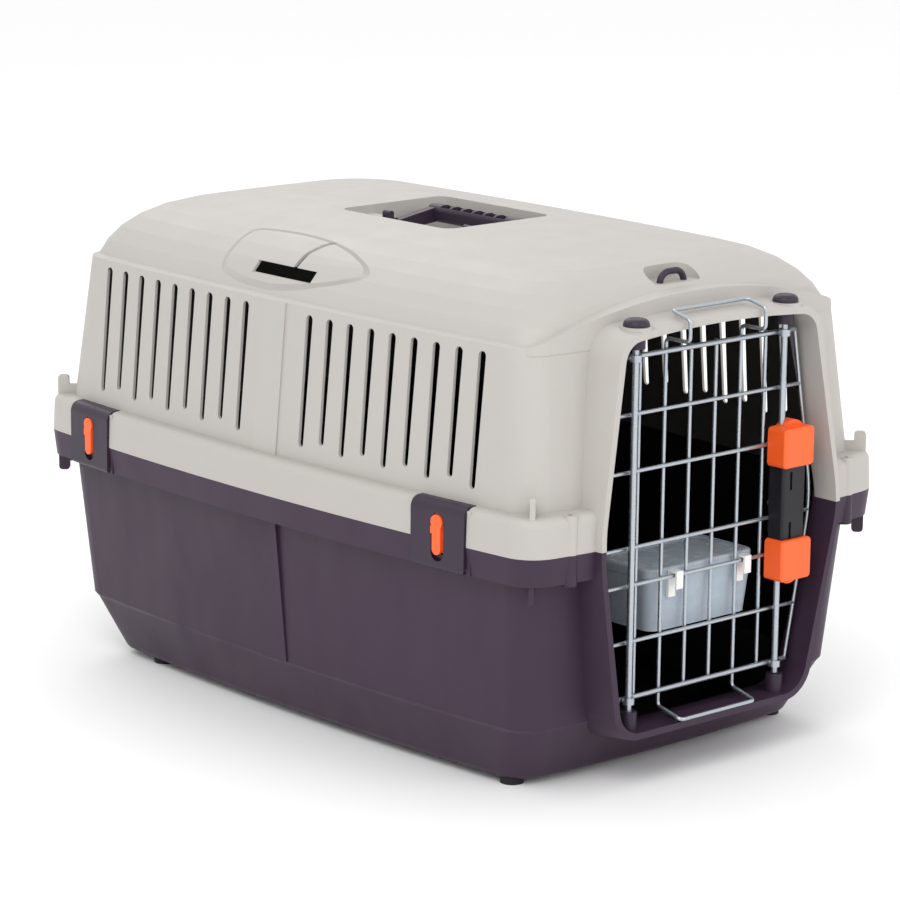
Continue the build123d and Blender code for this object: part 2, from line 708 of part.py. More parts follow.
def handle_arm():
    """Side view of one arm: a round heel with a finger-like horn, and a straight shank."""
    grip_z = HORN_Z - GRIP_R
    horn_x = HANDLE_X - ARM_R + HORN_R
    arm = Pos(HANDLE_X, HANDLE_Z) * Circle(ARM_R) + Pos(GRIP_X, grip_z) * Circle(ARM_R)
    arm += make_face(Polyline((HANDLE_X, HANDLE_Z - ARM_R), (GRIP_X, grip_z - ARM_R),
                              (GRIP_X, grip_z + ARM_R), (HANDLE_X, HANDLE_Z + ARM_R / 2), close=True))
    arm += Pos(horn_x, HORN_Z - HORN_R) * Circle(HORN_R)
    arm += make_face(Polyline((horn_x - HORN_R, HANDLE_Z), (horn_x + HORN_R, HANDLE_Z),
                              (horn_x + HORN_R, HORN_Z - HORN_R), (horn_x - HORN_R, HORN_Z - HORN_R),
                              close=True))
    return arm


def carry_handle():
    """Two flat arms joined by a grip with open cells on top; it lies folded in the well."""
    side_view = Plane((0, 0, 0), x_dir=(1, 0, 0), z_dir=(0, -1, 0))
    thickness = ARM_OUTER_Y - ARM_INNER_Y
    handle = extrude(side_view.offset(ARM_INNER_Y) * handle_arm(), thickness)
    handle += extrude(side_view.offset(-ARM_OUTER_Y) * handle_arm(), thickness)
    section = Plane((GRIP_X, -ARM_OUTER_Y, HORN_Z - GRIP_R), x_dir=(1, 0, 0), z_dir=(0, 1, 0))
    handle += extrude(section * RectangleRounded(2 * GRIP_R, 2 * GRIP_R, GRIP_R - 2), 2 * ARM_OUTER_Y)
    reach = GRIP_R - GRIP_CELL_SKIN
    for index in range(GRIP_CELLS):
        y = (index - (GRIP_CELLS - 1) / 2) * GRIP_CELL_PITCH
        handle -= block((GRIP_X - reach, GRIP_X + reach),
                        (y - GRIP_CELL_LENGTH / 2, y + GRIP_CELL_LENGTH / 2),
                        (HORN_Z - GRIP_CELL_DEPTH, HORN_Z + CUT))
    for side in (1, -1):
        handle -= rod((HANDLE_X, side * (ARM_INNER_Y - CUT), HANDLE_Z),
                      (HANDLE_X, side * (ARM_OUTER_Y + CUT), HANDLE_Z), PIN_R + RUNNING)
    return handle


# ---- Hasps and locks ------------------------------------------------------------------------------
# Each is drawn with X outward from the rim face and Y along the rim, then set on the side bow.
def on_rim(piece, along):
    """Set a piece on the right-hand side bow at a distance along the carrier."""
    turn = degrees(asin(along / SIDE_BOW))
    return Pos(HALF_W - SIDE_BOW, 0) * Rot(0, 0, turn) * Pos(SIDE_BOW, 0) * piece


def at_hasps(piece):
    """The same piece at all four hasp places."""
    front, rear = on_rim(piece, HASP_FRONT_Y), on_rim(piece, HASP_REAR_Y)
    return both_sides(front) + both_sides(rear)


def hasp_curve(out):
    """The bend over the rim's top edge at an offset from its face, and the height it ends at."""
    bend_x = -RIM_ROUND
    lean = cos(radians(45))
    top = HASP_TOP_Z - HASP_PROUD + out
    rise = top - HASP_BEND_Z
    reach = out - bend_x
    middle = (bend_x + reach * lean, HASP_BEND_Z + rise * lean)
    return ThreePointArc((out, HASP_BEND_Z), middle, (bend_x, top)), top


def hasp_solid(half_width, outer, inner, reach_in, low_z):
    """Bent band between two offsets from the rim face."""
    out_bend, out_top = hasp_curve(outer)
    in_bend, in_top = hasp_curve(inner)
    bend_x = -RIM_ROUND
    loop = [Line((outer, low_z), (outer, HASP_BEND_Z)), out_bend,
            Polyline((bend_x, out_top), (-reach_in, out_top), (-reach_in, in_top), (bend_x, in_top)),
            in_bend, Polyline((inner, HASP_BEND_Z), (inner, low_z), (outer, low_z))]
    edges = [edge for line in loop for edge in line.edges()]
    face = Plane((0, half_width, 0), x_dir=(1, 0, 0), z_dir=(0, -1, 0)) * make_face(edges)
    return extrude(face, 2 * half_width)


def hasp_rod(half_width, radius):
    return rod((HASP_PIN_V, -half_width, HASP_PIN_Z), (HASP_PIN_V, half_width, HASP_PIN_Z), radius)


def hasp_slot(half_width, low_z, top_z, back, front):
    """Upright slot with round ends, cut or filled between two depths."""
    height = top_z - low_z
    plane = Plane((back, 0, (low_z + top_z) / 2), x_dir=(0, 0, 1), z_dir=(1, 0, 0))
    return extrude(plane * SlotOverall(height, 2 * half_width), front - back)


def hasp():
    """Bent strap that hinges below the parting line and closes over the upper rim."""
    half = HASP_WIDTH / 2
    band = hasp_solid(half, HASP_PROUD, HASP_PROUD - HASP_SKIN, HASP_REACH_IN, HASP_PIN_Z)
    band += hasp_rod(half, HASP_KNUCKLE_R)
    band -= hasp_rod(half + CUT, HASP_PIN_R + RUNNING)
    band -= hasp_slot(SLOT_WIDTH / 2, SLOT_LOW_Z, SLOT_TOP_Z, -CUT / 2, CUT)
    back = HASP_PROUD - HASP_SKIN
    band -= block((back - TOUCH, back + FLANGE_DEEP + 0.3), (-FLANGE_HALF - 0.5, FLANGE_HALF + 0.5),
                  (FLANGE_LOW_Z - SLIDER_TRAVEL - 0.4, FLANGE_TOP_Z + 0.4))
    low = HASP_PIN_Z - HASP_KNUCKLE_R
    front_view = Plane((-PAD_IN, 0, low + HASP_WIDTH), x_dir=(0, 1, 0), z_dir=(1, 0, 0))
    return band & extrude(front_view * RectangleRounded(HASP_WIDTH, 2 * HASP_WIDTH, HASP_CORNER),
                          PAD_IN + CUT)


def lock_slider():
    """Orange key in the hasp: round head, stem, hidden flange and a tongue that reaches the base."""
    back = HASP_PROUD - HASP_SKIN
    face = back + FLANGE_DEEP
    front = HASP_PROUD + SLIDER_PROUD
    key = hasp_slot(SLIDER_STEM_R, SLIDER_LOW_Z, SLIDER_TOP_Z - 1, face, front)
    head = Plane((face, 0, SLIDER_TOP_Z - SLIDER_HEAD_R), x_dir=(0, 1, 0), z_dir=(1, 0, 0))
    key += extrude(head * Circle(SLIDER_HEAD_R), front - face)
    key += block((face, front), (0, SLIDER_STEM_R + SLIDER_TAB), SLIDER_TAB_Z)
    key += block((back, face + TOUCH), (-FLANGE_HALF, FLANGE_HALF), (FLANGE_LOW_Z, FLANGE_TOP_Z))
    key += block((TONGUE_BACK_V, back + TOUCH), (-TONGUE_HALF, TONGUE_HALF), (TONGUE_LOW_Z, TONGUE_TOP_Z))
    key += block((TONGUE_BACK_V, KEEPER_BACK_V - 0.4), (-TONGUE_HALF, TONGUE_HALF),
                 (TONGUE_HOOK_Z, TONGUE_TOP_Z))
    return key


def hasp_notches():
    """Shallow seats in the rims for the closed hasps, with room for their knuckles."""
    half = HASP_WIDTH / 2 + HASP_GAP
    inner = HASP_PROUD - HASP_SKIN - 0.3
    seat = hasp_solid(half, 3 * CUT, inner, HASP_REACH_IN + HASP_GAP, HASP_PIN_Z)
    seat += block((inner, 3 * CUT), (-half, half), (RIM_LOW_Z - CUT, HASP_PIN_Z + TOUCH))
    seat += hasp_rod(half, HASP_KNUCKLE_R + 0.4)
    return at_hasps(seat)


def lock_windows():
    """Openings in the base rim that the tongues enter and hook behind."""
    half = TONGUE_HALF + 0.6
    window = block((KEEPER_BACK_V, CUT), (-half, half), (KEEPER_TOP_Z, PARTING_Z + CUT))
    window += block((TONGUE_BACK_V - 0.6, KEEPER_BACK_V + TOUCH), (-half, half),
                    (HASP_PIN_Z + HASP_KNUCKLE_R, PARTING_Z + CUT))
    return at_hasps(window)


def hasp_pins():
    return at_hasps(hasp_rod(HASP_WIDTH / 2 + 3.5, HASP_PIN_R))


# ---- Door -----------------------------------------------------------------------------------------
def row_z(row):
    """Height of a cross wire, counted in units up from the bottom rail."""
    return BOTTOM_RAIL_Z + ROW_UNIT * row


def edge_x(z):
    """Where the curved edge wire stands at a height."""
    slope_foot = (DOOR_HALF_W - DOOR_SILL_HALF_W) / (PARTING_Z - DOOR_SILL_Z)
    slope_head = (DOOR_HALF_W - DOOR_HEAD_HALF_W) / (DOOR_HEAD_Z - PARTING_Z)
    slope = slope_foot if z < PARTING_Z else slope_head
    return DOOR_HALF_W - slope * abs(PARTING_Z - z) - DOOR_EDGE_GAP - WIRE_R


def edge_wire():
    low, high = row_z(0), row_z(TOP_ROW)
    points = [(edge_x(low), ROW_Y, low), (DOOR_HALF_W - DOOR_EDGE_GAP - WIRE_R, ROW_Y, PARTING_Z),
              (edge_x(high), ROW_Y, high)]
    return bent_wire(points, WIRE_R, DOOR_WAIST_R)


def waist_reach(z):
    """Half width of the mesh at a height; the waist is rounded, so the widest rows stop short."""
    depth = DOOR_WAIST_R * tan(radians(WAIST_TURN / 2))
    near = max(0.0, 1 - abs(z - PARTING_Z) / depth)
    sagitta = DOOR_WAIST_R * (1 / cos(radians(WAIST_TURN / 2)) - 1)
    return edge_x(z) - sagitta * near ** 2 + WIRE_R / 4


def door_mesh():
    """Welded wire panel with the eyes that hold the rods."""
    low, high = row_z(0), row_z(TOP_ROW)
    mesh = edge_wire() + mirror(edge_wire(), Plane.YZ)
    for row in CROSS_ROWS:
        reach = waist_reach(row_z(row))
        mesh += rod((-reach, ROW_Y, row_z(row)), (reach, ROW_Y, row_z(row)), WIRE_R)
    for z in (low, high):
        mesh += rod((-edge_x(z), ROW_Y, z), (edge_x(z), ROW_Y, z), RAIL_R)
    for place in UPRIGHTS:
        mesh += post(place * WIRE_PITCH, UPRIGHT_Y, low - RAIL_R, high + RAIL_R, WIRE_R)
    for x in (ROD_X, -ROD_X):
        for z in (low, high):
            mesh += post(x, ROD_Y, z - EYE_HEIGHT / 2, z + EYE_HEIGHT / 2, EYE_R)
    mesh -= post(-ROD_X, ROD_Y, 0, ROOF_Z, ROD_R)
    mesh -= post(ROD_X, ROD_Y, 0, ROOF_Z, ROD_R + RUNNING)
    return mesh


def door_top_hook():
    """Wire that rises from the mesh, bends forward under the head and up in front of it."""
    x = LOOP_UPRIGHT * WIRE_PITCH
    low = row_z(TOP_ROW) + RAIL_R
    back_y, back_z = TOP_HOOK_BACK
    side = [(UPRIGHT_Y, low), (UPRIGHT_Y, TOP_HOOK_LOW_Z), (HOOK_FRONT_Y + WIRE_R, TOP_HOOK_LOW_Z),
            (HOOK_FRONT_Y + WIRE_R, TOP_HOOK_FRONT_Z), (back_y, back_z)]
    points = [(-x, y, z) for y, z in side] + [(x, y, z) for y, z in reversed(side)]
    return bent_wire(points, WIRE_R, HOOK_BEND)


def door_sill_hook():
    """Wire that drops from the mesh and runs forward over the sill to a crossbar."""
    x = LOOP_UPRIGHT * WIRE_PITCH
    side = [(UPRIGHT_Y, row_z(0) - RAIL_R), (UPRIGHT_Y, SILL_HOOK_DROP_Z),
            (HOOK_FRONT_Y + WIRE_R, SILL_HOOK_Z)]
    points = [(-x, y, z) for y, z in side] + [(x, y, z) for y, z in reversed(side)]
    return bent_wire(points, WIRE_R, HOOK_BEND)


def rod_caps():
    """Bushes in the head of the doorway, each with a round cap."""
    bush = post(ROD_X, ROD_Y, BUSH_LOW_Z, BUSH_SEAT_Z, BUSH_R)
    cap = post(ROD_X, ROD_Y, BUSH_SEAT_Z, BUSH_SEAT_Z + CAP_HEIGHT, CAP_R)
    rim = cap.edges().filter_by(lambda e: e.bounding_box().min.Z > BUSH_SEAT_Z + CAP_HEIGHT - TOUCH)
    cap = fillet(rim, CAP_HEIGHT - 1)
    bush = bush + cap - post(ROD_X, ROD_Y, BUSH_LOW_Z - CUT, BUSH_SEAT_Z - 2, ROD_R + RUNNING)
    return both_sides(bush)


def rod_sockets():
    socket = post(ROD_X, ROD_Y, SOCKET_LOW_Z, SOCKET_TOP_Z, SOCKET_R)
    socket -= post(ROD_X, ROD_Y, SOCKET_LOW_Z + 3, SOCKET_TOP_Z + CUT, ROD_R + RUNNING)
    return both_sides(socket)


def hinge_rod():
    return post(-ROD_X, ROD_Y, SOCKET_LOW_Z + 4, BUSH_SEAT_Z - 4, ROD_R)


# ---- Latch ----------------------------------------------------------------------------------------
def latch_screw_places():
    middle = (SEPTUM_LOW_Z + SEPTUM_TOP_Z) / 2
    return [(LATCH_X + side * SCREW_SPREAD, middle) for side in (1, -1)]


def latch_housing():
    """Block clamped on the mesh, with a spring channel above and below its middle wall."""
    body = block((LATCH_X - LATCH_HALF_W, LATCH_X + LATCH_HALF_W), (LATCH_FRONT_Y, LATCH_BACK_Y),
                 (LATCH_LOW_Z, LATCH_TOP_Z))
    front = body.edges().filter_by(lambda e: e.bounding_box().max.Y < LATCH_FRONT_Y + TOUCH)
    body = fillet(front.filter_by(Axis.Z), 2.5)
    body -= post(ROD_X, ROD_Y, LATCH_LOW_Z - CUT, LATCH_LOW_Z + GUIDE_LENGTH, ROD_R + RUNNING)
    body -= post(ROD_X, ROD_Y, LATCH_TOP_Z - GUIDE_LENGTH, LATCH_TOP_Z + CUT, ROD_R + RUNNING)
    body -= post(ROD_X, ROD_Y, LATCH_LOW_Z + GUIDE_LENGTH, SEPTUM_LOW_Z, SPRING_CHANNEL_R)
    body -= post(ROD_X, ROD_Y, SEPTUM_TOP_Z, LATCH_TOP_Z - GUIDE_LENGTH, SPRING_CHANNEL_R)
    for low in (SEPTUM_TOP_Z + 10, SEPTUM_LOW_Z - 24):
        body -= block((ROD_X, ROD_X + LATCH_SLOT_WIDTH),
                      (LATCH_FRONT_Y - CUT, LATCH_FRONT_Y + LATCH_SLOT_DEPTH),
                      (low, low + LATCH_SLOT_LENGTH))
    for x, z in latch_screw_places():
        body -= rod((x, LATCH_BACK_Y + CUT, z), (x, LATCH_BACK_Y - SCREW_GRIP, z), SCREW_R)
    return body


def latch_back_plate():
    back = ROW_Y + WIRE_R
    middle = (SEPTUM_LOW_Z + SEPTUM_TOP_Z) / 2
    plate = block((LATCH_X - COVER_HALF_W, LATCH_X + COVER_HALF_W), (back, back + COVER_THICK),
                  (middle - COVER_HALF_H, middle + COVER_HALF_H))
    for x, z in latch_screw_places():
        plate -= rod((x, back - CUT, z), (x, back + CUT, z), SCREW_R)
    return plate


def latch_screws():
    back = ROW_Y + WIRE_R + COVER_THICK
    screws = []
    for x, z in latch_screw_places():
        shank = rod((x, back, z), (x, LATCH_BACK_Y - SCREW_GRIP, z), SCREW_R)
        screws.append(shank + rod((x, back, z), (x, back + 1.4, z), SCREW_HEAD_R))
    return screws


def latch_spring(low_z):
    path = Helix(SPRING_LENGTH / SPRING_TURNS, SPRING_LENGTH - 4 * SPRING_WIRE_R, SPRING_R)
    start = Plane(path @ 0, z_dir=path % 0)
    coil = sweep(start * Circle(SPRING_WIRE_R), path=path, is_frenet=True)
    return Pos(ROD_X, ROD_Y, low_z + 2 * SPRING_WIRE_R) * coil


def latch_grip(low_z, top_z, up):
    """Moulded block that slides along the housing; a thumb hump stands on its free end."""
    grip = block((LATCH_X - GRIP_HALF_W, LATCH_X + GRIP_HALF_W), (GRIP_FRONT_Y, LATCH_BACK_Y - 0.5),
                 (low_z, top_z))
    grip = fillet(grip.edges().filter_by(Axis.Y), GRIP_ROUND)
    grip = fillet(grip.faces().sort_by(Axis.Y)[0].edges(), GRIP_FRONT_ROUND)
    hump_z = top_z + GRIP_HUMP_RISE - GRIP_HUMP_R if up else low_z - GRIP_HUMP_RISE + GRIP_HUMP_R
    hump_y = LATCH_BACK_Y - 0.5 - GRIP_HUMP_DEPTH
    grip += rod((GRIP_HUMP_X, hump_y, hump_z), (GRIP_HUMP_X, hump_y + GRIP_HUMP_DEPTH, hump_z),
                GRIP_HUMP_R)
    mouth = (low_z - CUT, LATCH_TOP_Z + 1) if up else (LATCH_LOW_Z - 1, top_z + CUT)
    return grip - block((LATCH_X - LATCH_HALF_W - 0.4, LATCH_X + LATCH_HALF_W + 0.4),
                        (LATCH_FRONT_Y - 0.4, LATCH_BACK_Y), mouth)


def latch_rods():
    """Upper and lower rods; both stop just clear of the holes they shoot into."""
    upper = post(ROD_X, ROD_Y, SEPTUM_TOP_Z + SPRING_LENGTH, BUSH_LOW_Z - ROD_CLEAR, ROD_R)
    lower = post(ROD_X, ROD_Y, SOCKET_TOP_Z + ROD_CLEAR, SEPTUM_LOW_Z - SPRING_LENGTH, ROD_R)
    return upper, lower


# ---- Storage box ----------------------------------------------------------------------------------
def box_outline(half_width, depth, corner, z):
    y = BOX_FRONT_Y + BOX_DEPTH / 2
    return Pos(BOX_X, y, z) * RectangleRounded(2 * half_width, depth, corner)


def box_body(skin, low_z, top_z):
    foot = box_outline(BOX_HALF_W - BOX_DRAFT - skin, BOX_DEPTH - 2 * BOX_DRAFT - 2 * skin,
                       BOX_CORNER - skin, low_z)
    mouth = box_outline(BOX_HALF_W - skin, BOX_DEPTH - 2 * skin, BOX_CORNER - skin, top_z)
    return loft([foot, mouth], ruled=True)


def box_hinge_y():
    return BOX_FRONT_Y + BOX_DEPTH + LID_BARREL_R + LID_BARREL_GAP


def box_barrel(low_x, high_x, radius):
    y = box_hinge_y()
    return rod((BOX_X + low_x, y, LID_AXIS_Z), (BOX_X + high_x, y, LID_AXIS_Z), radius)


def storage_box():
    box = box_body(0, BOX_LOW_Z, BOX_TOP_Z)
    box -= box_body(BOX_SKIN, BOX_LOW_Z + BOX_SKIN, BOX_TOP_Z)
    box -= extrude(box_outline(BOX_HALF_W - BOX_SKIN, BOX_DEPTH - 2 * BOX_SKIN,
                               BOX_CORNER - BOX_SKIN, BOX_TOP_Z), CUT)
    rear = BOX_FRONT_Y + BOX_DEPTH
    for low, high in ((-LID_ARM_X - 10, -LID_ARM_X), (LID_ARM_X, LID_ARM_X + 10)):
        box += box_barrel(low, high, LID_BARREL_R)
        box += block((BOX_X + low, BOX_X + high), (rear - 1, box_hinge_y() + LID_PIN_R),
                     (BOX_TOP_Z - 3, BOX_TOP_Z))
        box += block((BOX_X + low, BOX_X + high), (rear + LID_BARREL_GAP, box_hinge_y() + LID_PIN_R),
                     (BOX_TOP_Z - TOUCH, LID_AXIS_Z - LID_PIN_R))
    box -= box_barrel(-BOX_HALF_W, BOX_HALF_W, LID_PIN_R)
    return box


def storage_box_lid():
    """Shallow lid with a raised border, hinged at the rear of the box."""
    low = LID_LOW_Z
    lid = extrude(box_outline(BOX_HALF_W, BOX_DEPTH, BOX_CORNER, low), LID_TOP_Z - low)
    top = lid.edges().filter_by(lambda e: e.bounding_box().min.Z > LID_TOP_Z - TOUCH)
    lid = fillet(top, 2)
    step = LID_RIDGE_INSET
    lid -= extrude(box_outline(BOX_HALF_W - step, BOX_DEPTH - 2 * step, BOX_CORNER - step / 2,
                               LID_TOP_Z - LID_RIDGE), CUT)
    lid -= extrude(box_outline(BOX_HALF_W - BOX_SKIN, BOX_DEPTH - 2 * BOX_SKIN, BOX_CORNER - BOX_SKIN,
                               low - CUT), LID_TOP_Z - LID_RIDGE - BOX_SKIN - low + CUT)
    rear = BOX_FRONT_Y + BOX_DEPTH
    arm = LID_ARM_X - 0.4
    lid += box_barrel(-arm, arm, LID_BARREL_R)
    lid += block((BOX_X - arm, BOX_X + arm), (rear - 1, box_hinge_y()),
                 (LID_AXIS_Z, LID_AXIS_Z + LID_BARREL_R))
    return lid - box_barrel(-BOX_HALF_W, BOX_HALF_W, LID_PIN_R + RUNNING)


def box_hooks():
    """Two hooks that hang the box over a cross wire of the door."""
    top = BOX_HOOK_TOP_Z
    root = BOX_TOP_Z - HOOK_ROOT
    back = BOX_FRONT_Y - HOOK_STAND_OFF
    front = ROW_Y - WIRE_R - HOOK_CLEAR - HOOK_SKIN
    profile = Polyline((BOX_FRONT_Y + 1, root), (BOX_FRONT_Y + 1, BOX_TOP_Z - 1), (back, BOX_TOP_Z - 1),
                       (back, top), (front, top), (front, HOOK_LOW_Z), (front + HOOK_SKIN, HOOK_LOW_Z),
                       (front + HOOK_SKIN, top - HOOK_SKIN), (back - HOOK_SKIN, top - HOOK_SKIN),
                       (back - HOOK_SKIN, root), close=True)
    hooks = []
    for side in (1, -1):
        plane = Plane((BOX_X + side * HOOK_SPREAD - HOOK_HALF_W, 0, 0), x_dir=(0, 1, 0), z_dir=(1, 0, 0))
        hook = extrude(plane * make_face(profile), 2 * HOOK_HALF_W)
        hooks.append(hook - box_body(0, BOX_LOW_Z, BOX_TOP_Z))
    return hooks


# ---- Export ---------------------------------------------------------------------------------------
def save(node, pieces):
    """Write one node; several loose pieces travel in one compound."""
    pieces = pieces if isinstance(pieces, (list, tuple)) else [pieces]
    solids = [solid for piece in pieces for solid in piece.solids()]
    shape = solids[0] if len(solids) == 1 else Compound(children=solids)
    export_step(shape, f"parts/{node}.step")


def save_at_hasps(name, piece):
    """The same piece at the four hasp places, each in its own node."""
    for row, along in (("rear", HASP_REAR_Y), ("front", HASP_FRONT_Y)):
        right, left = both_sides(on_rim(piece, along))
        save(f"{name}_right_{row}", right)
        save(f"{name}_left_{row}", left)


def main():
    os.makedirs("parts", exist_ok=True)
    save("base_shell", base_shell())
    save("feet", feet())
    save("top_shell", top_shell())
    save("lead_loop", lead_loop())
    save("handle_pins", handle_pins())
    save("carry_handle", carry_handle())
    save_at_hasps("hasp", hasp())
    save_at_hasps("lock", lock_slider())
    save("hasp_pins", hasp_pins())
    save("door_mesh", door_mesh())
    save("door_top_hook", door_top_hook())
    save("door_sill_hook", door_sill_hook())
    save("door_hinge_rod", hinge_rod())
    save("rod_caps", rod_caps())
    save("rod_sockets", rod_sockets())
    save("latch_housing", latch_housing())
    save("latch_back_plate", latch_back_plate())
    save("latch_screws", latch_screws())
    save("latch_spring_upper", latch_spring(SEPTUM_TOP_Z))
    save("latch_spring_lower", latch_spring(SEPTUM_LOW_Z - SPRING_LENGTH))
    upper_rod, lower_rod = latch_rods()
    save("latch_grip_upper", latch_grip(*LATCH_GRIP_UPPER, True) - upper_rod)
    save("latch_grip_lower", latch_grip(*LATCH_GRIP_LOWER, False) - lower_rod)
    save("latch_rod_upper", upper_rod)
    save("latch_rod_lower", lower_rod)
    save("storage_box", storage_box())
    save("storage_box_lid", storage_box_lid())
    save("storage_box_pin", box_barrel(-LID_ARM_X - 10, LID_ARM_X + 10, LID_PIN_R))
    save("storage_box_hooks", box_hooks())


if __name__ == "__main__":
    main()
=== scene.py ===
import json
import math

import bmesh
import bpy
from mathutils import Matrix, Vector

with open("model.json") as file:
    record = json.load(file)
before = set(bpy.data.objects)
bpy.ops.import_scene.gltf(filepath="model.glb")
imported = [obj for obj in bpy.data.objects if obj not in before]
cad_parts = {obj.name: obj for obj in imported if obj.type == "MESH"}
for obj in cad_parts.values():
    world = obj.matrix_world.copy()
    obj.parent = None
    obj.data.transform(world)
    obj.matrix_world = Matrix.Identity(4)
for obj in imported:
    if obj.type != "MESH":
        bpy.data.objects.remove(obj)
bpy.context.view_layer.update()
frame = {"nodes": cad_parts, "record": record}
NODES = frame["nodes"]

# ---- Camera: a long lens, low and to the left of the door -------------------------------------------
CAMERA_PLACE = (-1.913, -2.1178, 0.8388)
CAMERA_AZIMUTH = -42.104
CAMERA_ELEVATION = 12.752
CAMERA_ROLL = 0.616
FOCAL_LENGTH = 146.304
SENSOR = 36.0

# ---- Colours, as linear red, green and blue ---------------------------------------------------------
LIGHT_GREY = (0.46, 0.437, 0.412)
DARK_PURPLE = (0.040, 0.022, 0.043)
DARK_TRIM = (0.032, 0.020, 0.037)
ORANGE = (1.0, 0.12, 0.016)
BLACK = (0.010, 0.009, 0.012)
ZINC = (0.46, 0.50, 0.54)
STEEL = (0.50, 0.51, 0.53)
CLEAR_BLUE = (0.40, 0.45, 0.51)
WHITE = (0.80, 0.80, 0.78)
RUBBER = (0.015, 0.012, 0.016)
FLOOR = (0.97, 0.97, 0.97)

# ---- Painted shade: where the shells count as inside, facing the middle below the roof and behind the doorway, their colour is darkened ---
MIDDLE_Z = 0.19
INSIDE_TOP_Z = 0.346
INSIDE_FRONT_Y = -0.262
INSIDE_FADE = 0.022
LENGTHWAYS_SHARE = 0.3
FACING_LIMIT = -0.45
# Colour factor of the painted shade on the inner walls
INSIDE_PAINTED_SHADE = 0.10

# ---- Belt guide relief: two round sides and a blunt rear in plan, with a steeper strip at its foot ---
GUIDE_TOP_SIDE = ((0.3778, 0.0392, 0.0), 0.2571)
GUIDE_FOOT_SIDE = ((-0.1564, 0.0293, 0.0), 0.3253)
GUIDE_REAR_Y = 0.091
GUIDE_ROUND = 0.015
GUIDE_STEP_WIDTH = 0.003
GUIDE_STEP_DEPTH = 0.0026
GUIDE_FACET_X = 0.1503
GUIDE_FACET_SLOPE = 0.0811
GUIDE_FACET_WIDTH = 0.012
GUIDE_FACET_SHARE = 0.9


